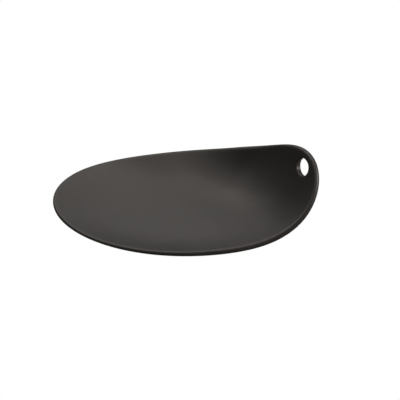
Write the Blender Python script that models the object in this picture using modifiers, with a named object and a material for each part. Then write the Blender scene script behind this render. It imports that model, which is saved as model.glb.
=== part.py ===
"""Curled oval serving dish: one thin ceramic shell with a hanging hole and a flat foot.

The dish is a single fired piece. Its shell is an egg-shaped sheet that rises gently all round
and curls up steeply at one end, where a hole takes a finger or a hook. Lengths are in metres and
angles in degrees. +Z is up, +X runs along the dish towards the curled end, and the origin is on
the underside of the foot, below the deepest point of the dish.
"""

import math

import bmesh
import bpy
from mathutils import Vector

# Outline of the sheet, measured along its surface from the deepest point
LOW_END_LENGTH = 0.1377
CURLED_END_LENGTH = 0.1571
HALF_WIDTH = 0.0780
EGG = 0.133  # how much narrower than the middle the outline is at the curled end
END_NARROWING = 0.033  # the same for both ends

# How steeply the sheet stands at the rim
FRONT_SLOPE = 22.0
BACK_SLOPE = 11.2
TIP_SLOPE = 17.5
CURL_SLOPE = 74.0
CURL_DIRECTION = 12.3  # plan angle from +X towards +Y
CURL_FADE_FRONT = 16.3  # a higher number fades the curl out over a shorter stretch of rim
CURL_FADE_BACK = 1.55
FADE_BLEND = 36.4  # half the stretch over which one fade changes to the other
SIDE_BLEND = 0.3  # sine of the plan angle at which the front's slope starts to give way to the back's
SLOPE_POWER = 1.2  # a higher number keeps the middle of the dish flatter

# Wall and lip
THIN_WALL = 0.0042
THICK_WALL = 0.0055
THIN_FROM = -0.135
THICK_FROM = 0.115
FRONT_EXTRA = 0.0008  # added to the wall where the front rim climbs to the curl
FRONT_EXTRA_WIDTH = 0.060
FRONT_EXTRA_FROM = -0.060
FRONT_EXTRA_TO = 0.050
LIP_ROUNDING = 0.0020

# Hanging hole
HOLE_DIAMETER = 0.0183
HOLE_AROUND = 5.0  # angle round the outline, from the curled tip
HOLE_SHARE = 0.8935  # share of the way from the deepest point to the rim

# Foot, in the shape of the dish's own outline
FOOT_SHARE = 0.24  # share of the way from the deepest point to the rim
FOOT_HEIGHT = 0.0012
FOOT_TOP = 0.0042  # the foot's top lies inside the wall
FOOT_ROUNDING = 0.0004

# Mesh fineness
AROUND = 96
RINGS = 14
SECTION_STEPS = 48
HOLE_SIDES = 32
FOOT_SIDES = 48

DISH_COLOUR = (0.050, 0.046, 0.044, 1.0)
DISH_ROUGHNESS = 0.55


def ease(value):
    """Rise smoothly from 0 to 1."""
    value = min(max(value, 0.0), 1.0)
    return value * value * (3.0 - 2.0 * value)


def outline_point(around):
    """Point of the sheet's outline, laid flat, at an angle round it in radians."""
    middle = (CURLED_END_LENGTH - LOW_END_LENGTH) / 2
    half_length = (CURLED_END_LENGTH + LOW_END_LENGTH) / 2
    x = middle + half_length * math.cos(around)
    along = math.cos(around)
    y = HALF_WIDTH * math.sin(around) * (1.0 - EGG * along - END_NARROWING * along ** 2)
    return x, y


def rim_slope(plan_angle):
    """Slope of the sheet at the rim, in radians, in a plan direction."""
    side = FRONT_SLOPE + (BACK_SLOPE - FRONT_SLOPE) * ease(math.sin(plan_angle) + SIDE_BLEND)
    low = side + (TIP_SLOPE - side) * math.cos(plan_angle) ** 2
    turn = plan_angle - math.radians(CURL_DIRECTION)
    turn = math.atan2(math.sin(turn), math.cos(turn))
    back = ease((turn / math.radians(FADE_BLEND) + 1.0) / 2)
    fade = CURL_FADE_FRONT + (CURL_FADE_BACK - CURL_FADE_FRONT) * back
    curl = ((1.0 + math.cos(turn)) / 2) ** fade
    return math.radians(low + (CURL_SLOPE - low) * curl)


def section_run(share, end_slope):
    """Plan and height run of a section, per metre of its length, up to a share of it."""
    plan = 0.0
    height = 0.0
    step = share / SECTION_STEPS
    for index in range(SECTION_STEPS):
        slope = end_slope * ease((index + 0.5) * step) ** SLOPE_POWER
        plan += math.cos(slope) * step
        height += math.sin(slope) * step
    return plan, height


def wall_thickness(flat_x, flat_y):
    """Wall thickness at a place on the flat sheet."""
    along = ease((flat_x - THIN_FROM) / (THICK_FROM - THIN_FROM))
    front = ease(-flat_y / FRONT_EXTRA_WIDTH)
    front *= ease((flat_x - FRONT_EXTRA_FROM) / (FRONT_EXTRA_TO - FRONT_EXTRA_FROM))
    return THIN_WALL + (THICK_WALL - THIN_WALL) * along + FRONT_EXTRA * front


def sheet_point(around, share):
    """Point in the middle of the wall, by angle round the outline and share of the way out."""
    x, y = outline_point(around)
    plan_angle = math.atan2(y, x)
    length = math.hypot(x, y)
    plan, height = section_run(share, rim_slope(plan_angle))
    base = FOOT_HEIGHT + wall_thickness(0.0, 0.0) / 2
    return Vector((plan * length * math.cos(plan_angle),
                   plan * length * math.sin(plan_angle),
                   base + height * length))


def sheet_normal(around, share):
    """Upward unit normal of the sheet."""
    step = 0.01
    out = sheet_point(around, share + step) - sheet_point(around, share - step)
    along = sheet_point(around + step, share) - sheet_point(around - step, share)
    return out.cross(along).normalized()


def make_collection(name):
    """New collection in the scene."""
    collection = bpy.data.collections.new(name)
    bpy.context.scene.collection.children.link(collection)
    return collection


def add_object(name, bm, collection):
    """Object from a bmesh, in a collection."""
    mesh = bpy.data.meshes.new(name)
    bm.to_mesh(mesh)
    bm.free()
    piece = bpy.data.objects.new(name, mesh)
    collection.objects.link(piece)
    return piece


def as_tool(piece):
    """Mark an object as a Boolean operand that isn't part of the dish."""
    piece.hide_render = True
    piece.display_type = 'WIRE'


def ceramic_material():
    """Matte charcoal glaze."""
    material = bpy.data.materials.new("matte_charcoal_glaze")
    material.use_nodes = True
    shader = material.node_tree.nodes["Principled BSDF"]
    shader.inputs["Base Color"].default_value = DISH_COLOUR
    shader.inputs["Roughness"].default_value = DISH_ROUGHNESS
    shader.inputs["Metallic"].default_value = 0.0
    return material


def unit_disc():
    """Flat disc of quads round a centre, spun from one row of edges."""
    bm = bmesh.new()
    row = [bm.verts.new((ring / RINGS, 0.0, 0.0)) for ring in range(RINGS + 1)]
    edges = [bm.edges.new(pair) for pair in zip(row, row[1:])]
    bmesh.ops.spin(bm, geom=row + edges, cent=(0, 0, 0), axis=(0, 0, 1),
                   angle=math.tau, steps=AROUND, use_duplicate=False)
    bmesh.ops.remove_doubles(bm, verts=bm.verts, dist=1e-5)
    bmesh.ops.recalc_face_normals(bm, faces=bm.faces)
    return bm


def curl_disc(bm):
    """Move a unit disc's points onto the dish, and return each one's share of the thickest wall."""
    shares = []
    for vert in bm.verts:
        around = math.atan2(vert.co.y, vert.co.x)
        share = vert.co.xy.length
        x, y = outline_point(around)
        vert.co = sheet_point(around, share)
        shares.append(wall_thickness(x * share, y * share) / (THICK_WALL + FRONT_EXTRA))
    return shares


def make_foot_tool(collection):
    """Low pad in the shape of the outline, which the Boolean joins to the underside."""
    bm = bmesh.new()
    bmesh.ops.create_cone(bm, cap_ends=True, segments=FOOT_SIDES, radius1=1.0, radius2=1.0, depth=FOOT_TOP)
    for vert in bm.verts:
        edge = sheet_point(math.atan2(vert.co.y, vert.co.x), FOOT_SHARE)
        vert.co = (edge.x, edge.y, vert.co.z + FOOT_TOP / 2)
    foot = add_object("foot_tool", bm, collection)
    bevel = foot.modifiers.new("soft_edge", 'BEVEL')
    bevel.width = FOOT_ROUNDING
    bevel.segments = 2
    bevel.limit_method = 'ANGLE'
    bevel.angle_limit = math.radians(60)
    as_tool(foot)
    return foot


def make_hole_tool(collection):
    """Round cutter through the curled wall, square to it."""
    around = math.radians(HOLE_AROUND)
    bm = bmesh.new()
    bmesh.ops.create_cone(bm, cap_ends=True, segments=HOLE_SIDES,
                          radius1=HOLE_DIAMETER / 2, radius2=HOLE_DIAMETER / 2, depth=0.03)
    cutter = add_object("hole_tool", bm, collection)
    cutter.location = sheet_point(around, HOLE_SHARE)
    cutter.rotation_euler = sheet_normal(around, HOLE_SHARE).to_track_quat('Z', 'Y').to_euler()
    as_tool(cutter)
    return cutter


def add_boolean(piece, name, operation, tool):
    """Boolean modifier with one operand."""
    boolean = piece.modifiers.new(name, 'BOOLEAN')
    boolean.operation = operation
    boolean.solver = 'EXACT'
    boolean.object = tool


def make_dish_body(collection, foot, cutter):
    """The whole dish: curled sheet, wall, round lip, foot and hole."""
    bm = unit_disc()
    shares = curl_disc(bm)
    dish = add_object("dish_body", bm, collection)
    dish.data.shade_smooth()
    dish.data.materials.append(ceramic_material())

    group = dish.vertex_groups.new(name="wall")
    for index, share in enumerate(shares):
        group.add([index], share, 'REPLACE')

    wall = dish.modifiers.new("wall", 'SOLIDIFY')
    wall.thickness = THICK_WALL + FRONT_EXTRA
    wall.offset = 0.0
    wall.vertex_group = group.name
    wall.use_even_offset = True

    lip = dish.modifiers.new("lip", 'BEVEL')
    lip.width = LIP_ROUNDING
    lip.segments = 3
    lip.limit_method = 'ANGLE'
    lip.angle_limit = math.radians(60)

    add_boolean(dish, "foot", 'UNION', foot)
    add_boolean(dish, "hanging_hole", 'DIFFERENCE', cutter)
    return dish


def main():
    """Clear the scene and build the dish."""
    for old in list(bpy.data.objects):
        bpy.data.objects.remove(old, do_unlink=True)
    parts = make_collection("curled_dish")
    tools = make_collection("tools")
    make_dish_body(parts, make_foot_tool(tools), make_hole_tool(tools))


main()
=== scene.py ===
"""Curled serving dish in matte charcoal glaze, alone on a pale studio floor.

The dish is one fired piece: an egg-shaped sheet curled up at one end, with a round lip, a hanging
hole and a flat ground foot. Its fine shape follows the same formula as its solid. Lengths are in
metres, angles in degrees and light in watts. +Z is up, and +X runs along the dish towards its
curled end.
"""

import logging
import math
from collections.abc import Callable, Iterator
from contextlib import contextmanager
from dataclasses import dataclass, field
from enum import Enum

import bmesh
import bpy
from mathutils import Matrix, Vector
from mathutils.kdtree import KDTree


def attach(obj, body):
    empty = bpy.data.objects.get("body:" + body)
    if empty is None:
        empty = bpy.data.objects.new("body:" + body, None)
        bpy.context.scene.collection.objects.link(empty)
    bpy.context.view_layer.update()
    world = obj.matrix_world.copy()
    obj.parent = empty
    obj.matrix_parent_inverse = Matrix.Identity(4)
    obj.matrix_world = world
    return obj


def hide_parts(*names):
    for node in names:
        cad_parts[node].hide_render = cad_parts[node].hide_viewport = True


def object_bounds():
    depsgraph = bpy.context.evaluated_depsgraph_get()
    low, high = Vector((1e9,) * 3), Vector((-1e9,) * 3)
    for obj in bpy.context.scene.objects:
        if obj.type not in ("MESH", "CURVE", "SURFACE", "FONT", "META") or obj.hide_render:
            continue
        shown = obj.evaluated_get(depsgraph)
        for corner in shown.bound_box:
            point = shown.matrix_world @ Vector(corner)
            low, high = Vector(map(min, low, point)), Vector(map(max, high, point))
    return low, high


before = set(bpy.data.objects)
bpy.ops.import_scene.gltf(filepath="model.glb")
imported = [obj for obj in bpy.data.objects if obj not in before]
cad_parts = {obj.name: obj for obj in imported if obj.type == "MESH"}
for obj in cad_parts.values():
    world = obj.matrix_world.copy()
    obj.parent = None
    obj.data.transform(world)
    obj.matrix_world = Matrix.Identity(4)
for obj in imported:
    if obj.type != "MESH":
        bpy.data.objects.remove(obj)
CAD_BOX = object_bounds()

ORIGIN = (0.0, 0.0, 0.0)
WHITE = (1.0, 1.0, 1.0, 1.0)
TOUCHING = 0.0001  # places closer than this count as one

Colour = tuple[float, float, float, float]
log = logging.getLogger("curled_dish")


class Kind(Enum):
    """Kind of mesh element that a selection picks."""

    EDGES = "EDGE"
    FACES = "FACE"


class Finish(Enum):
    """Material slots of the dish."""

    GLAZE = 0
    CLAY = 1


class Blend(Enum):
    """What a Mix node blends: its data type, and the places of its two ends and its result."""

    VALUES = ("FLOAT", 2, 3, 0)
    COLOURS = ("RGBA", 6, 7, 2)


def ease(value: float) -> float:
    """Rise smoothly from 0 to 1."""
    value = min(max(value, 0.0), 1.0)
    return value * value * (3.0 - 2.0 * value)


def take_up(piece: bpy.types.Object) -> None:
    """Make one object the only selected and active one.

    Args:
        piece: The object.
    """
    bpy.ops.object.select_all(action='DESELECT')
    piece.select_set(True)
    bpy.context.view_layer.objects.active = piece


@contextmanager
def editing(piece: bpy.types.Object) -> Iterator[None]:
    """Keep one object in edit mode for the length of a with block.

    Args:
        piece: The mesh object to edit.
    """
    take_up(piece)
    bpy.ops.object.mode_set(mode='EDIT')
    yield
    bpy.ops.object.mode_set(mode='OBJECT')


def pick(piece: bpy.types.Object, kind: Kind, wanted: Callable[..., bool]) -> int:
    """Select only those elements of an edited mesh that pass a test.

    Args:
        piece: The object in edit mode.
        kind: Kind of element to go through.
        wanted: Test that an element has to pass.

    Returns:
        How many elements are selected.
    """
    bpy.ops.mesh.select_mode(type=kind.value)
    bpy.ops.mesh.select_all(action='DESELECT')
    bm = bmesh.from_edit_mesh(piece.data)
    elements = bm.edges if kind is Kind.EDGES else bm.faces
    chosen = [element for element in elements if wanted(element)]
    for element in chosen:
        element.select_set(True)
    bm.select_flush_mode()
    bmesh.update_edit_mesh(piece.data)
    return len(chosen)


def apply_modifier(piece: bpy.types.Object, kind: str, **settings: object) -> None:
    """Add a modifier to an object, set it and apply it.

    Args:
        piece: The object to change.
        kind: Type name of the modifier.
        settings: Values of the modifier's own properties.
    """
    take_up(piece)
    bpy.ops.object.modifier_add(type=kind)
    modifier = piece.modifiers[-1]
    for name, value in settings.items():
        setattr(modifier, name, value)
    bpy.ops.object.modifier_apply(modifier=modifier.name)


@dataclass(frozen=True)
class SheetShape:
    """The egg-shaped sheet that runs through the middle of the dish's wall."""

    # Outline, measured along the sheet from the deepest point
    low_end_length: float = 0.1377
    curled_end_length: float = 0.1571
    half_width: float = 0.0780
    egg: float = 0.133  # how much narrower than the middle the curled end is
    end_narrowing: float = 0.033  # the same for both ends

    # How steeply the sheet stands at the rim
    front_slope: float = 22.0
    back_slope: float = 11.2
    side_blend: float = 0.3  # sine of the direction at which the front gives way to the back
    tip_slope: float = 17.5
    curl_slope: float = 74.0
    curl_direction: float = 12.3  # from +X towards +Y
    curl_fade_front: float = 16.3  # a higher number fades the curl out over less of the rim
    curl_fade_back: float = 1.55
    fade_blend: float = 36.4  # half the turn in which one fade changes to the other
    slope_power: float = 1.2  # a higher number keeps the middle flatter

    # Wall
    thin_wall: float = 0.0042
    thick_wall: float = 0.0055
    thin_from: float = -0.135
    thick_from: float = 0.115
    front_extra: float = 0.0008  # added where the front rim climbs to the curl
    front_extra_width: float = 0.060
    front_extra_from: float = -0.060
    front_extra_to: float = 0.050

    foot_height: float = 0.0012
    section_steps: int = 48

    def outline_point(self, around: float) -> tuple[float, float]:
        """Find a point of the outline, laid flat.

        Args:
            around: Angle round the outline in radians.

        Returns:
            Its x and y, measured along the sheet from the deepest point.
        """
        middle = (self.curled_end_length - self.low_end_length) / 2
        half_length = (self.curled_end_length + self.low_end_length) / 2
        along = math.cos(around)
        breadth = 1.0 - self.egg * along - self.end_narrowing * along ** 2
        return middle + half_length * along, self.half_width * math.sin(around) * breadth

    def section_length(self, around: float) -> float:
        """Length of the section from the deepest point to the rim."""
        return math.hypot(*self.outline_point(around))

    def rim_slope(self, plan_angle: float) -> float:
        """Find how steeply the sheet stands at the rim.

        Args:
            plan_angle: Direction in plan, in radians.

        Returns:
            The slope in radians.
        """
        to_back = ease(math.sin(plan_angle) + self.side_blend)
        side = self.front_slope + (self.back_slope - self.front_slope) * to_back
        low = side + (self.tip_slope - side) * math.cos(plan_angle) ** 2
        turn = plan_angle - math.radians(self.curl_direction)
        turn = math.atan2(math.sin(turn), math.cos(turn))
        back = ease((turn / math.radians(self.fade_blend) + 1.0) / 2)
        fade = self.curl_fade_front + (self.curl_fade_back - self.curl_fade_front) * back
        curl = ((1.0 + math.cos(turn)) / 2) ** fade
        return math.radians(low + (self.curl_slope - low) * curl)

    def section_run(self, share: float, end_slope: float) -> tuple[float, float]:
        """Add up a section's run from the deepest point outwards, by the middle of each step.

        Args:
            share: Share of the way out.
            end_slope: Slope at the rim in radians.

        Returns:
            Plan run and height, per metre of the section's length.
        """
        plan = 0.0
        height = 0.0
        step = share / self.section_steps
        for index in range(self.section_steps):
            slope = end_slope * ease((index + 0.5) * step) ** self.slope_power
            plan += math.cos(slope) * step
            height += math.sin(slope) * step
        return plan, height

    @property
    def thickest_wall(self) -> float:
        """The most that the wall can measure."""
        return self.thick_wall + self.front_extra

    def wall_thickness(self, around: float, share: float) -> float:
        """Find the wall's thickness at a place on the sheet.

        Args:
            around: Angle round the outline in radians.
            share: Share of the way from the deepest point to the rim.

        Returns:
            The thickness in metres.
        """
        x, y = self.outline_point(around)
        along = ease((x * share - self.thin_from) / (self.thick_from - self.thin_from))
        front = ease(-y * share / self.front_extra_width)
        climb = self.front_extra_to - self.front_extra_from
        front *= ease((x * share - self.front_extra_from) / climb)
        wall = self.thin_wall + (self.thick_wall - self.thin_wall) * along
        return wall + self.front_extra * front

    def point(self, around: float, share: float) -> Vector:
        """Find a point in the middle of the wall.

        Args:
            around: Angle round the outline in radians.
            share: Share of the way from the deepest point to the rim.

        Returns:
            The point in the dish's own frame.
        """
        x, y = self.outline_point(around)
        plan_angle = math.atan2(y, x)
        length = math.hypot(x, y)
        plan, height = self.section_run(share, self.rim_slope(plan_angle))
        base = self.foot_height + self.wall_thickness(0.0, 0.0) / 2
        return Vector((plan * length * math.cos(plan_angle),
                       plan * length * math.sin(plan_angle),
                       base + height * length))


@dataclass(frozen=True)
class HangingHole:
    """The round hole through the curled wall."""

    diameter: float = 0.0183
    around: float = 5.0  # angle round the outline, from the curled tip
    share: float = 0.8935  # share of the way from the deepest point to the rim
    edge_rounding: float = 0.0006
    edge_segments: int = 2
    clear_rings: int = 8  # size of the patch that makes way for it
    clear_segments: int = 10
    trued_reach: float = 1.15  # points this many radii from its axis are set on its wall

    @property
    def radius(self) -> float:
        """Radius of the hole."""
        return self.diameter / 2

    @property
    def sides(self) -> int:
        """Number of points round the hole, one for each point of the patch it is set in."""
        return 2 * (self.clear_rings + self.clear_segments)


@dataclass
class CurledDish:
    """The whole fired dish: curled sheet, wall, round lip, hanging hole and ground foot."""

    name: str = "glazed_dish"
    sheet: SheetShape = field(default_factory=SheetShape)
    hole: HangingHole = field(default_factory=HangingHole)
    segments: int = 160
    foot_rings: int = 8
    wall_rings: int = 38
    foot_share: float = 0.24
    foot_rounding: float = 0.00045
    foot_fillet: float = 0.0005
    foot_edge_segments: int = 2
    lip_rounding: float = 42.0  # per cent of the wall's thickness
    lip_segments: int = 3
    ground_reach: float = 0.0003  # how far up from the ground the clay stays bare

    @property
    def rings(self) -> int:
        """Number of rings from the deepest point to the rim."""
        return self.foot_rings + self.wall_rings + 1

    @property
    def rim_from(self) -> float:
        """Ring number past which a point lies on the rim."""
        return self.rings - 0.5

    def ring_share(self, around: float, ring: float) -> float:
        """Find how far out a ring lies: even steps to the foot, to the lip, and the lip itself.

        Args:
            around: Angle round the outline in radians.
            ring: Ring number, which may lie between two rings.

        Returns:
            Share of the way from the deepest point to the rim.
        """
        length = self.sheet.section_length(around)
        foot = self.foot_share * length
        lip_band = self.sheet.wall_thickness(around, 1.0)
        lip = length - lip_band
        if ring <= self.foot_rings:
            return foot * ring / self.foot_rings / length
        if ring <= self.rings - 1:
            return (foot + (lip - foot) * (ring - self.foot_rings) / self.wall_rings) / length
        return (lip + lip_band * (ring - self.rings + 1)) / length

    def curled(self, x: float, y: float) -> Vector:
        """Where a point of the flat blank comes to lie in the middle of the wall."""
        around = math.atan2(y, x)
        return self.sheet.point(around, self.ring_share(around, math.hypot(x, y) * self.rings))

    def hole_frame(self) -> tuple[Vector, Vector, Vector, Vector]:
        """Find the hole's centre and its own axes.

        Returns:
            Centre, direction along the wall, direction up the wall, and the axis through it.
        """
        around = math.radians(self.hole.around)
        step = 0.01
        centre = self.sheet.point(around, self.hole.share)
        along = self.sheet.point(around + step, self.hole.share)
        along -= self.sheet.point(around - step, self.hole.share)
        up = self.sheet.point(around, self.hole.share + step)
        up -= self.sheet.point(around, self.hole.share - step)
        axis = up.cross(along).normalized()
        up.normalize()
        return centre, axis.cross(up), up, axis

    def lay_blank(self) -> bpy.types.Object:
        """Lay the flat blank: a small fan, extruded outwards ring by ring to a unit disc.

        Returns:
            The new object.
        """
        bpy.ops.object.select_all(action='DESELECT')
        bpy.ops.mesh.primitive_circle_add(vertices=self.segments, radius=1.0 / self.rings,
                                          fill_type='TRIFAN')
        piece = bpy.context.object
        piece.name = self.name
        piece.data.name = self.name
        with editing(piece):
            bpy.ops.mesh.select_mode(type='EDGE')
            bpy.ops.mesh.select_all(action='SELECT')
            bpy.ops.mesh.region_to_loop()
            for ring in range(1, self.rings):
                wider = (ring + 1) / ring
                bpy.ops.mesh.extrude_edges_move()
                bpy.ops.transform.resize(value=(wider, wider, 1.0), center_override=ORIGIN)
            bpy.ops.mesh.select_all(action='SELECT')
            bpy.ops.mesh.normals_make_consistent(inside=False)
        return piece

    def pierce(self, piece: bpy.types.Object) -> None:
        """Open a patch of the blank where the hole goes, and bridge its edge to a circle.

        Args:
            piece: The flat blank.
        """
        hole_angle = math.radians(self.hole.around)
        outer_ring = self.rings - 1
        inner_ring = outer_ring - self.hole.clear_rings
        half_patch = self.hole.clear_segments / 2 * math.tau / self.segments

        def in_patch(face: bmesh.types.BMFace) -> bool:
            """Tell whether a face lies in the patch round the hole.

            Args:
                face: Face of the blank.

            Returns:
                True if it does.
            """
            middle = face.calc_center_median()
            turn = math.atan2(middle.y, middle.x) - hole_angle
            ring = middle.xy.length * self.rings
            return abs(turn) < half_patch and inner_ring < ring < outer_ring

        def is_inner_border(edge: bmesh.types.BMEdge) -> bool:
            """Tell whether an edge borders the patch or is part of the circle in it.

            Args:
                edge: Edge of the blank.

            Returns:
                True if it does.
            """
            middle = (edge.verts[0].co + edge.verts[1].co) / 2
            on_rim = middle.xy.length * self.rings > self.rim_from
            return not on_rim and (edge.is_boundary or edge.is_wire)

        step = 0.001
        place = (outer_ring + inner_ring) / 2 / self.rings
        radial = self.curled(place + step, 0.0) - self.curled(place, 0.0)
        sideways = self.curled(place, step) - self.curled(place, 0.0)
        centre = Vector((place * math.cos(hole_angle), place * math.sin(hole_angle), 0.0))
        stretch = (self.hole.radius / radial.length, self.hole.radius / sideways.length, 1.0)
        with editing(piece):
            pick(piece, Kind.FACES, in_patch)
            bpy.ops.mesh.delete(type='FACE')
            bpy.ops.mesh.primitive_circle_add(vertices=self.hole.sides, radius=step,
                                              location=centre)
            bpy.ops.transform.resize(value=stretch, center_override=centre)
            pick(piece, Kind.EDGES, is_inner_border)
            bpy.ops.mesh.bridge_edge_loops()

    def settled_on_hole(self, x: float, y: float) -> tuple[float, float]:
        """Move a point of the flat blank so that it is curled onto the hole's round edge.

        Args:
            x: Place of the point on the blank.
            y: Place of the point on the blank.

        Returns:
            The moved place.
        """
        centre, along, up, _ = self.hole_frame()

        def offset(place_x: float, place_y: float) -> Vector:
            """How far a curled point lies from the hole's centre, along and up the wall."""
            away = self.curled(place_x, place_y) - centre
            return Vector((away.dot(along), away.dot(up)))

        step = 0.0001
        rounds = 5
        for _ in range(rounds):
            here = offset(x, y)
            by_x = (offset(x + step, y) - here) / step
            by_y = (offset(x, y + step) - here) / step
            missing = here.normalized() * self.hole.radius - here
            move = Matrix(((by_x.x, by_y.x), (by_x.y, by_y.y))).inverted() @ missing
            x += move.x
            y += move.y
        return x, y

    def curl_blank(self, piece: bpy.types.Object) -> None:
        """Curl the pierced blank into the dish's sheet, and note its ring numbers and wall.

        Args:
            piece: The pierced blank.
        """
        bm = bmesh.new()
        bm.from_mesh(piece.data)
        ring_layer = bm.verts.layers.float.new("ring")
        shares = []
        for vert in bm.verts:
            x, y = vert.co.xy
            if vert.is_boundary and vert.co.xy.length * self.rings < self.rim_from:
                x, y = self.settled_on_hole(x, y)
            around = math.atan2(y, x)
            ring = math.hypot(x, y) * self.rings
            share = self.ring_share(around, ring)
            shares.append(self.sheet.wall_thickness(around, share) / self.sheet.thickest_wall)
            vert[ring_layer] = ring
            vert.co = self.sheet.point(around, share)
        bm.to_mesh(piece.data)
        bm.free()
        group = piece.vertex_groups.new(name="wall")
        for index, share in enumerate(shares):
            group.add([index], share, 'REPLACE')

    def give_wall(self, piece: bpy.types.Object) -> None:
        """Thicken the sheet to both sides, and true up the hole's wall to a cylinder.

        Args:
            piece: The curled sheet.
        """
        apply_modifier(piece, 'SOLIDIFY', thickness=self.sheet.thickest_wall, offset=0.0,
                       vertex_group="wall", use_even_offset=True)
        centre, _, _, axis = self.hole_frame()
        reach = self.hole.radius * self.hole.trued_reach
        for vert in piece.data.vertices:
            away = vert.co - centre
            depth = away.dot(axis)
            across = away - axis * depth
            if across.length < reach and abs(depth) < self.sheet.thick_wall:
                vert.co = centre + axis * depth + across.normalized() * self.hole.radius

    def round_lip(self, piece: bpy.types.Object) -> None:
        """Round both edges of the rim, each by nearly half of the wall's thickness.

        Args:
            piece: The dish with its wall.
        """
        def on_rim(element: bmesh.types.BMEdge | bmesh.types.BMFace) -> bool:
            """Whether all of an element's corners lie on the rim."""
            layer = bmesh.from_edit_mesh(piece.data).verts.layers.float["ring"]
            return all(vert[layer] > self.rim_from for vert in element.verts)

        def is_rim_edge(edge: bmesh.types.BMEdge) -> bool:
            """Whether an edge runs along the rim, at the top or bottom of its end face."""
            return on_rim(edge) and sum(on_rim(face) for face in edge.link_faces) == 1

        with editing(piece):
            found = pick(piece, Kind.EDGES, is_rim_edge)
            log.info("lip: %d edges rounded by %.0f%% of the wall", found, self.lip_rounding)
            bpy.ops.mesh.bevel(offset_type='PERCENT', offset_pct=self.lip_rounding,
                               segments=self.lip_segments, affect='EDGES')

    def raise_foot(self, piece: bpy.types.Object) -> None:
        """Extrude the middle of the underside down to a flat foot, and soften its edges.

        Args:
            piece: The dish with its wall.
        """
        upright = 0.2  # rise of a wall's normal
        level = 0.0002  # rise of an edge
        foot_to = self.foot_rings + 0.01

        def rings_of(element: bmesh.types.BMEdge | bmesh.types.BMFace) -> list[float]:
            """Ring numbers of an element's corners."""
            layer = bmesh.from_edit_mesh(piece.data).verts.layers.float["ring"]
            return [vert[layer] for vert in element.verts]

        def under_middle(face: bmesh.types.BMFace) -> bool:
            """Whether a face of the underside lies inside the foot's ring."""
            return face.normal.z < 0.0 and max(rings_of(face)) < foot_to

        def on_foot_wall(edge: bmesh.types.BMEdge) -> bool:
            """Tell whether an edge is a border of the foot's upright wall.

            Args:
                edge: Edge of the dish.

            Returns:
                True if it is.
            """
            walls = sum(abs(face.normal.z) < upright for face in edge.link_faces)
            rise = abs(edge.verts[0].co.z - edge.verts[1].co.z)
            return walls == 1 and rise < level and max(rings_of(edge)) < foot_to

        def is_ground_edge(edge: bmesh.types.BMEdge) -> bool:
            """Whether an edge of the foot's wall lies on the ground."""
            return on_foot_wall(edge) and edge.verts[0].co.z < TOUCHING

        def is_top_edge(edge: bmesh.types.BMEdge) -> bool:
            """Whether an edge of the foot's wall meets the underside."""
            return on_foot_wall(edge) and edge.verts[0].co.z > TOUCHING

        with editing(piece):
            pick(piece, Kind.FACES, under_middle)
            bpy.ops.mesh.extrude_region_move()
            bpy.ops.transform.resize(value=(1.0, 1.0, 0.0), center_override=ORIGIN)
            for is_wanted, width in ((is_top_edge, self.foot_fillet),
                                     (is_ground_edge, self.foot_rounding)):
                found = pick(piece, Kind.EDGES, is_wanted)
                log.info("foot: %d edges rounded by %.5f m", found, width)
                bpy.ops.mesh.bevel(offset=width, segments=self.foot_edge_segments, affect='EDGES')

    def soften_hole(self, piece: bpy.types.Object) -> None:
        """Round both edges of the hole.

        Args:
            piece: The dish with its wall.
        """
        centre, _, _, axis = self.hole_frame()
        lengthwise = 0.7  # share of an edge's run that lies along the axis

        def is_hole_edge(edge: bmesh.types.BMEdge) -> bool:
            """Tell whether an edge runs round the hole, where its wall meets the dish's face.

            Args:
                edge: Edge of the dish.

            Returns:
                True if it does.
            """
            for vert in edge.verts:
                away = vert.co - centre
                across = away - axis * away.dot(axis)
                if abs(across.length - self.hole.radius) > TOUCHING:
                    return False
            run = (edge.verts[1].co - edge.verts[0].co).normalized()
            return abs(run.dot(axis)) < lengthwise and away.length < self.hole.diameter

        with editing(piece):
            found = pick(piece, Kind.EDGES, is_hole_edge)
            log.info("hole: %d edges rounded by %.5f m", found, self.hole.edge_rounding)
            bpy.ops.mesh.bevel(offset=self.hole.edge_rounding, segments=self.hole.edge_segments,
                               affect='EDGES')

    def measure_edges(self, piece: bpy.types.Object) -> None:
        """Store each point's distance from the nearest lip or hole edge.

        Args:
            piece: The finished dish.
        """
        steps = 720
        centre, along, up, _ = self.hole_frame()
        tree = KDTree(2 * steps)
        for index in range(steps):
            turn = math.tau * index / steps
            rim = self.sheet.point(turn, 1.0)
            ring = centre + (along * math.cos(turn) + up * math.sin(turn)) * self.hole.radius
            tree.insert(rim, 2 * index)
            tree.insert(ring, 2 * index + 1)
        tree.balance()
        distances = piece.data.attributes.new("edge_distance", 'FLOAT', 'POINT')
        for vert in piece.data.vertices:
            distances.data[vert.index].value = tree.find(vert.co)[2]

    def dress(self, piece: bpy.types.Object) -> None:
        """Glaze the dish all over but for the underside of its foot.

        Args:
            piece: The modelled dish.
        """
        effects = Effects()
        piece.data.materials.clear()
        piece.data.materials.append(CharcoalGlaze().material(effects))
        piece.data.materials.append(BareClay().material(effects))
        for face in piece.data.polygons:
            bare = face.center.z < self.ground_reach
            face.material_index = (Finish.CLAY if bare else Finish.GLAZE).value

    def build(self) -> bpy.types.Object:
        """Model the dish and dress it.

        Returns:
            The finished object, closed and smooth.
        """
        piece = self.lay_blank()
        self.pierce(piece)
        self.curl_blank(piece)
        self.give_wall(piece)
        self.round_lip(piece)
        self.raise_foot(piece)
        self.soften_hole(piece)
        apply_modifier(piece, 'SUBSURF', levels=1, render_levels=1)
        self.measure_edges(piece)
        take_up(piece)
        bpy.ops.object.shade_smooth()
        self.dress(piece)
        return piece


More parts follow.
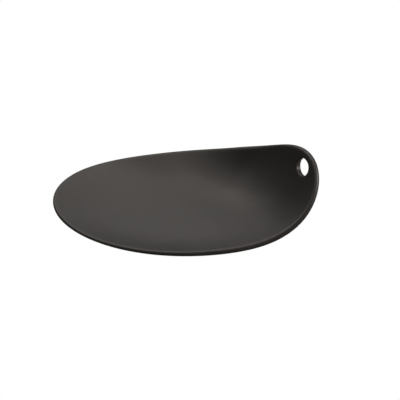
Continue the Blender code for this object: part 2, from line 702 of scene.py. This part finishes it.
class Wiring:
    """A shader node tree that is being wired."""

    def __init__(self, tree: bpy.types.NodeTree) -> None:
        """Take over a node tree.

        Args:
            tree: The tree to add nodes to.
        """
        self.tree = tree

    def feed(self, value: object, target: bpy.types.NodeSocket) -> None:
        """Give an input a constant, or the output that its value comes from.

        Args:
            value: A constant or an output socket.
            target: The input socket.
        """
        if isinstance(value, bpy.types.NodeSocket):
            self.tree.links.new(value, target)
        else:
            target.default_value = value

    def add(self, kind: str, values: dict[str, object] | None = None,
            **settings: object) -> bpy.types.Node:
        """Add a node.

        Args:
            kind: Type name of the node, without its ShaderNode start.
            values: What its inputs are given, by input name.
            settings: The node's own properties.

        Returns:
            The new node.
        """
        node = self.tree.nodes.new("ShaderNode" + kind)
        for name, value in settings.items():
            setattr(node, name, value)
        for name, value in (values or {}).items():
            self.feed(value, node.inputs[name])
        return node

    def noise(self, scale: bpy.types.NodeSocket, **values: float) -> bpy.types.NodeSocket:
        """Add noise that is fixed to the piece.

        Args:
            scale: Output that gives its scale.
            values: Its other inputs.

        Returns:
            The noise's socket.
        """
        place = self.add("TexCoord").outputs["Object"]
        return self.add("TexNoise", {"Vector": place, "Scale": scale, **values}).outputs["Fac"]

    def math(self, operation: str, first: object, second: object) -> bpy.types.NodeSocket:
        """Combine two values.

        Args:
            operation: Name of the Math node's operation.
            first: A number, or the output that gives it.
            second: A number, or the output that gives it.

        Returns:
            The result's socket.
        """
        node = self.add("Math", operation=operation)
        self.feed(first, node.inputs[0])
        self.feed(second, node.inputs[1])
        return node.outputs[0]

    def mix(self, kind: Blend, share: object, low: object, high: object) -> bpy.types.NodeSocket:
        """Blend from one value or colour to another.

        Args:
            kind: What is blended.
            share: Share of the second end.
            low: First end, or the output that gives it.
            high: Second end, or the output that gives it.

        Returns:
            The result's socket.
        """
        data_type, low_place, high_place, result_place = kind.value
        node = self.add("Mix", {"Factor": share}, data_type=data_type)
        self.feed(low, node.inputs[low_place])
        self.feed(high, node.inputs[high_place])
        return node.outputs[result_place]

    def remap(self, value: bpy.types.NodeSocket, source: tuple[object, object],
              target: tuple[float, float] = (0.0, 1.0)) -> bpy.types.NodeSocket:
        """Stretch a range of a varying value to another range, smoothly and within its ends.

        Args:
            value: The varying value.
            source: Ends of its range, or the outputs that give them.
            target: What the two ends become.

        Returns:
            The result's socket.
        """
        node = self.add("MapRange", {"Value": value, "From Min": source[0], "From Max": source[1],
                                     "To Min": target[0], "To Max": target[1]},
                        interpolation_type='SMOOTHSTEP')
        return node.outputs["Result"]


class SurfaceGroup:
    """A shader node group with named inputs and outputs, which each material sets its own way."""

    def __init__(self, name: str, inputs: dict[str, float], outputs: tuple[str, ...]) -> None:
        """Open an empty group of plain values.

        Args:
            name: Name of the group.
            inputs: Its inputs and what they are unless set.
            outputs: Its outputs.
        """
        self.tree = bpy.data.node_groups.new(name, 'ShaderNodeTree')
        interface = self.tree.interface
        for label, value in inputs.items():
            socket = interface.new_socket(name=label, in_out='INPUT', socket_type='NodeSocketFloat')
            socket.default_value = value
        for label in outputs:
            interface.new_socket(name=label, in_out='OUTPUT', socket_type='NodeSocketFloat')
        self.wiring = Wiring(self.tree)
        self.given = self.tree.nodes.new("NodeGroupInput").outputs
        self.result = self.tree.nodes.new("NodeGroupOutput").inputs

    def place(self, wiring: Wiring, values: dict[str, float]) -> bpy.types.NodeOutputs:
        """Place the group in a material.

        Args:
            wiring: The material's tree.
            values: Values of the group's inputs in this material.

        Returns:
            The group's outputs there.
        """
        return wiring.add("Group", values, node_tree=self.tree).outputs


def fine_grain_group() -> SurfaceGroup:
    """Build the grain of a fired surface: a fine tooth on a slight orange peel.

    Returns:
        A group that puts out a height and a mask, both from 0 to 1.
    """
    group = SurfaceGroup("fine_grain",
                         {"grain scale": 1800.0, "peel scale": 240.0, "peel share": 0.35},
                         ("height", "mask"))
    wiring = group.wiring
    tooth = wiring.noise(group.given["grain scale"], Detail=2.0, Roughness=0.6)
    peel = wiring.noise(group.given["peel scale"], Detail=1.0, Roughness=0.4)
    height = wiring.mix(Blend.VALUES, group.given["peel share"], tooth, peel)
    wiring.feed(height, group.result["height"])
    wiring.feed(wiring.remap(height, (0.35, 0.65)), group.result["mask"])
    return group


def cloud_group() -> SurfaceGroup:
    """Build the slow, cloudy change of a kiln-fired surface.

    Returns:
        A group that puts out a mask from 0 to 1.
    """
    group = SurfaceGroup("kiln_cloud", {"cloud scale": 22.0}, ("mask",))
    wiring = group.wiring
    cloud = wiring.noise(group.given["cloud scale"], Detail=3.0, Roughness=0.55, Distortion=0.3)
    wiring.feed(wiring.remap(cloud, (0.3, 0.7)), group.result["mask"])
    return group


def speck_group() -> SurfaceGroup:
    """Build scattered round specks, such as iron spots, in some of the cells of a random net.

    Returns:
        A group that puts out a mask, 1 in the middle of a speck.
    """
    group = SurfaceGroup("iron_specks",
                         {"speck scale": 420.0, "speck size": 0.22, "speck share": 0.3},
                         ("mask",))
    wiring = group.wiring
    place = wiring.add("TexCoord").outputs["Object"]
    net = wiring.add("TexVoronoi", {"Vector": place, "Scale": group.given["speck scale"]},
                     feature='F1')
    chance = wiring.add("SeparateColor", {"Color": net.outputs["Color"]}).outputs[0]
    has_speck = wiring.math('LESS_THAN', chance, group.given["speck share"])
    body = wiring.remap(net.outputs["Distance"], (0.0, group.given["speck size"]), (1.0, 0.0))
    wiring.feed(wiring.math('MULTIPLY', body, has_speck), group.result["mask"])
    return group


@dataclass
class Effects:
    """The node groups that the dish's finishes share."""

    grain: SurfaceGroup = field(default_factory=fine_grain_group)
    cloud: SurfaceGroup = field(default_factory=cloud_group)
    specks: SurfaceGroup = field(default_factory=speck_group)


@dataclass(frozen=True)
class FiredFinish:
    """A fired surface: a clouded colour with specks, on a fine grain."""

    name: str
    deep: Colour
    pale: Colour
    speck: Colour
    speck_strength: float
    smooth_end: float  # roughness where the surface is smoothest
    rough_end: float
    grain_in_roughness: float  # the rest of the change in roughness follows the cloud
    grain_relief: float
    sheen_tint: Colour
    grain_values: tuple[float, float, float]  # scale of the tooth, scale and share of the peel
    cloud_scale: float
    speck_values: tuple[float, float, float]  # scale of the net, size and share of the specks

    def over_edges(self, wiring: Wiring, colour: bpy.types.NodeSocket) -> bpy.types.NodeSocket:
        """Change the colour along the edges, which only a glaze does."""
        return colour

    def material(self, effects: Effects) -> bpy.types.Material:
        """Build the material.

        Args:
            effects: The shared node groups.

        Returns:
            The new material.
        """
        material = bpy.data.materials.new(self.name)
        material.use_nodes = True
        wiring = Wiring(material.node_tree)
        shader = wiring.tree.nodes["Principled BSDF"].inputs
        grain = effects.grain.place(
            wiring, dict(zip(("grain scale", "peel scale", "peel share"), self.grain_values)))
        cloud = effects.cloud.place(wiring, {"cloud scale": self.cloud_scale})["mask"]
        specks = effects.specks.place(
            wiring, dict(zip(("speck scale", "speck size", "speck share"), self.speck_values)))

        colour = wiring.mix(Blend.COLOURS, cloud, self.deep, self.pale)
        specked = wiring.math('MULTIPLY', specks["mask"], self.speck_strength)
        colour = wiring.mix(Blend.COLOURS, specked, colour, self.speck)
        wiring.feed(self.over_edges(wiring, colour), shader["Base Color"])

        gloss = wiring.mix(Blend.VALUES, self.grain_in_roughness, cloud, grain["mask"])
        roughness = wiring.remap(gloss, (0.0, 1.0), (self.smooth_end, self.rough_end))
        wiring.feed(roughness, shader["Roughness"])
        bump = wiring.add("Bump", {"Strength": 1.0, "Distance": self.grain_relief,
                                   "Height": grain["height"]})
        wiring.feed(bump.outputs["Normal"], shader["Normal"])
        shader["Specular Tint"].default_value = self.sheen_tint
        return material


@dataclass(frozen=True)
class CharcoalGlaze(FiredFinish):
    """Satin-matte charcoal glaze with a fine tooth, faint specks and a browner, lighter edge,
    partly thinner glaze and partly a painted highlight.
    """

    name: str = "matte_charcoal_glaze"
    deep: Colour = (0.0165, 0.0148, 0.0140, 1.0)
    pale: Colour = (0.0200, 0.0178, 0.0165, 1.0)
    speck: Colour = (0.0080, 0.0070, 0.0065, 1.0)
    speck_strength: float = 0.6
    smooth_end: float = 0.44
    rough_end: float = 0.52
    grain_in_roughness: float = 0.5
    grain_relief: float = 0.000025
    sheen_tint: Colour = (1.0, 0.925, 0.865, 1.0)
    grain_values: tuple[float, float, float] = (1800.0, 240.0, 0.35)
    cloud_scale: float = 22.0
    speck_values: tuple[float, float, float] = (420.0, 0.20, 0.25)
    # Lighter, browner colour along the lip and hole edges: partly clay showing through thinner
    # glaze, partly a painted highlight on the rounded edges.
    thin_glaze_and_highlight: Colour = (0.0420, 0.0330, 0.0270, 1.0)
    thin_from: float = 0.0012
    thin_to: float = 0.0050
    thin_glaze_and_highlight_share: float = 0.12

    def over_edges(self, wiring: Wiring, colour: bpy.types.NodeSocket) -> bpy.types.NodeSocket:
        """Lighten and brown the colour along the lip and hole edges: partly clay showing through
        thinner glaze, partly a painted highlight.

        Args:
            wiring: The material's tree.
            colour: The glaze's colour.

        Returns:
            The colour with its lighter edges, partly painted highlight.
        """
        edge = wiring.add("Attribute", attribute_name="edge_distance").outputs["Fac"]
        # Painted highlight together with thinner glaze: lighter towards the lip and hole edges.
        thin_glaze_and_highlight_mask = wiring.remap(edge, (self.thin_from, self.thin_to), (self.thin_glaze_and_highlight_share, 0.0))
        return wiring.mix(Blend.COLOURS, thin_glaze_and_highlight_mask, colour, self.thin_glaze_and_highlight)


@dataclass(frozen=True)
class BareClay(FiredFinish):
    """Dark stoneware without glaze, ground flat where the dish stands."""

    name: str = "bare_clay"
    deep: Colour = (0.060, 0.047, 0.038, 1.0)
    pale: Colour = (0.105, 0.085, 0.070, 1.0)
    speck: Colour = (0.025, 0.020, 0.017, 1.0)
    speck_strength: float = 1.0
    smooth_end: float = 0.82
    rough_end: float = 0.9
    grain_in_roughness: float = 1.0
    grain_relief: float = 0.00007
    sheen_tint: Colour = WHITE
    grain_values: tuple[float, float, float] = (1100.0, 500.0, 0.2)
    cloud_scale: float = 60.0
    speck_values: tuple[float, float, float] = (600.0, 0.35, 0.4)


@dataclass(frozen=True)
class SoftPanel:
    """A soft light panel that faces the dish from a direction round it."""

    name: str
    azimuth: float  # clockwise from straight behind the dish, seen from above
    elevation: float
    width: float
    height: float
    power: float
    distance: float = 1.4

    def hang(self, target: Vector) -> bpy.types.Object:
        """Hang the panel.

        Args:
            target: The point it faces.

        Returns:
            The light's object.
        """
        turn, rise = math.radians(self.azimuth), math.radians(self.elevation)
        flat = math.cos(rise)
        away = Vector((math.sin(turn) * flat, math.cos(turn) * flat, math.sin(rise)))
        bpy.ops.object.light_add(type='AREA', location=target + away * self.distance)
        panel = bpy.context.object
        panel.name = self.name
        panel.rotation_mode = 'QUATERNION'
        panel.rotation_quaternion = away.to_track_quat('Z', 'Y')
        panel.data.shape = 'RECTANGLE'
        panel.data.size = self.width
        panel.data.size_y = self.height
        panel.data.energy = self.power
        panel.visible_camera = False
        return panel


@dataclass
class Studio:
    """Pale floor, soft light panels and the camera."""

    floor_size: float = 16.0
    floor_bounce: float = 0.20  # how much of its light the floor throws back at the dish
    ambient: float = 0.005
    panels: tuple[SoftPanel, ...] = (
        SoftPanel("top_panel", azimuth=0.0, elevation=72.0, width=1.4, height=0.34,
                  power=5.0),
        SoftPanel("high_back_panel", azimuth=0.0, elevation=48.0, width=1.4, height=0.34,
                  power=3.2),
        SoftPanel("back_panel", azimuth=0.0, elevation=24.0, width=1.4, height=0.34,
                  power=2.7),
        SoftPanel("high_right_panel", azimuth=60.0, elevation=60.0, width=0.6, height=0.5,
                  power=2.9),
        SoftPanel("left_panel", azimuth=270.0, elevation=66.0, width=0.6, height=0.5,
                  power=4.6),
        SoftPanel("left_back_panel", azimuth=312.0, elevation=42.0, width=0.9, height=0.5,
                  power=2.0),
        SoftPanel("low_left_panel", azimuth=240.0, elevation=42.0, width=0.6, height=0.5,
                  power=2.4),
        SoftPanel("left_lip_panel", azimuth=240.0, elevation=18.0, width=0.6, height=0.5,
                  power=0.6),
        SoftPanel("right_lip_panel", azimuth=102.0, elevation=24.0, width=0.5, height=0.4,
                  power=12.0),
    )
    elevation: float = 40.0
    view_width: float = 0.3983
    framing_right: float = 0.0138  # how far the camera looks past the middle of the dish's box
    framing_down: float = 0.0116
    camera_distance: float = 1.5

    def lay_floor(self) -> bpy.types.Object:
        """Lay the floor, which is white to the eye and throws only a little light back at the dish.

        Returns:
            The floor's object.
        """
        bpy.ops.object.select_all(action='DESELECT')
        bpy.ops.mesh.primitive_plane_add(size=self.floor_size)
        floor = bpy.context.object
        floor.name = "floor"
        material = bpy.data.materials.new("pale_floor")
        material.use_nodes = True
        wiring = Wiring(material.node_tree)
        wiring.tree.nodes.clear()
        bounce = wiring.add("BsdfDiffuse", {"Color": (*[self.floor_bounce] * 3, 1.0)})
        white = wiring.add("Emission", {"Strength": 1.0})
        seen = wiring.add("LightPath").outputs["Is Camera Ray"]
        mixed = wiring.add("MixShader", {"Fac": seen})
        wiring.feed(bounce.outputs["BSDF"], mixed.inputs[1])
        wiring.feed(white.outputs["Emission"], mixed.inputs[2])
        wiring.add("OutputMaterial", {"Surface": mixed.outputs["Shader"]})
        floor.data.materials.append(material)
        return floor

    def fill_air(self) -> None:
        """Give the world a dim, even fill light and a white look."""
        world = bpy.data.worlds.new("studio_air")
        world.use_nodes = True
        wiring = Wiring(world.node_tree)
        backdrop = wiring.tree.nodes["Background"].inputs
        seen = wiring.add("LightPath").outputs["Is Camera Ray"]
        strength = wiring.add("MapRange", {"Value": seen, "To Min": self.ambient, "To Max": 1.0})
        wiring.feed(strength.outputs["Result"], backdrop["Strength"])
        backdrop["Color"].default_value = WHITE
        bpy.context.scene.world = world

    def set_camera(self, low: Vector, high: Vector) -> None:
        """Set up the camera in front of the dish.

        Args:
            low: Lowest corner of the dish's box.
            high: Highest corner of the dish's box.
        """
        tilt = math.radians(self.elevation)
        back = Vector((0.0, -math.cos(tilt), math.sin(tilt)))
        upward = Vector((0.0, math.sin(tilt), math.cos(tilt)))
        rightward = Vector((1.0, 0.0, 0.0))
        aim = (low + high) / 2 + rightward * self.framing_right - upward * self.framing_down
        bpy.ops.object.camera_add(location=aim + back * self.camera_distance)
        camera = bpy.context.object
        camera.name = "camera"
        camera.rotation_mode = 'QUATERNION'
        camera.rotation_quaternion = (-back).to_track_quat('-Z', 'Y')
        camera.data.type = 'ORTHO'
        camera.data.ortho_scale = self.view_width
        bpy.context.scene.camera = camera

    def build(self, low: Vector, high: Vector) -> bpy.types.Object:
        """Set up the whole studio.

        Args:
            low: Lowest corner of the dish's box.
            high: Highest corner of the dish's box.

        Returns:
            The floor's object.
        """
        floor = self.lay_floor()
        self.fill_air()
        for panel in self.panels:
            panel.hang((low + high) / 2)
        self.set_camera(low, high)
        bpy.context.scene.view_settings.view_transform = 'Standard'
        return floor


def main() -> None:
    """Build the dish and the studio."""
    logging.basicConfig(level=logging.INFO, format="%(name)s: %(message)s")
    dish = CurledDish().build()
    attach(dish, "root")
    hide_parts("dish_body")
    log.info("%s: %d faces", dish.name, len(dish.data.polygons))
    floor = Studio().build(*CAD_BOX)


if __name__ == "__main__":
    main()
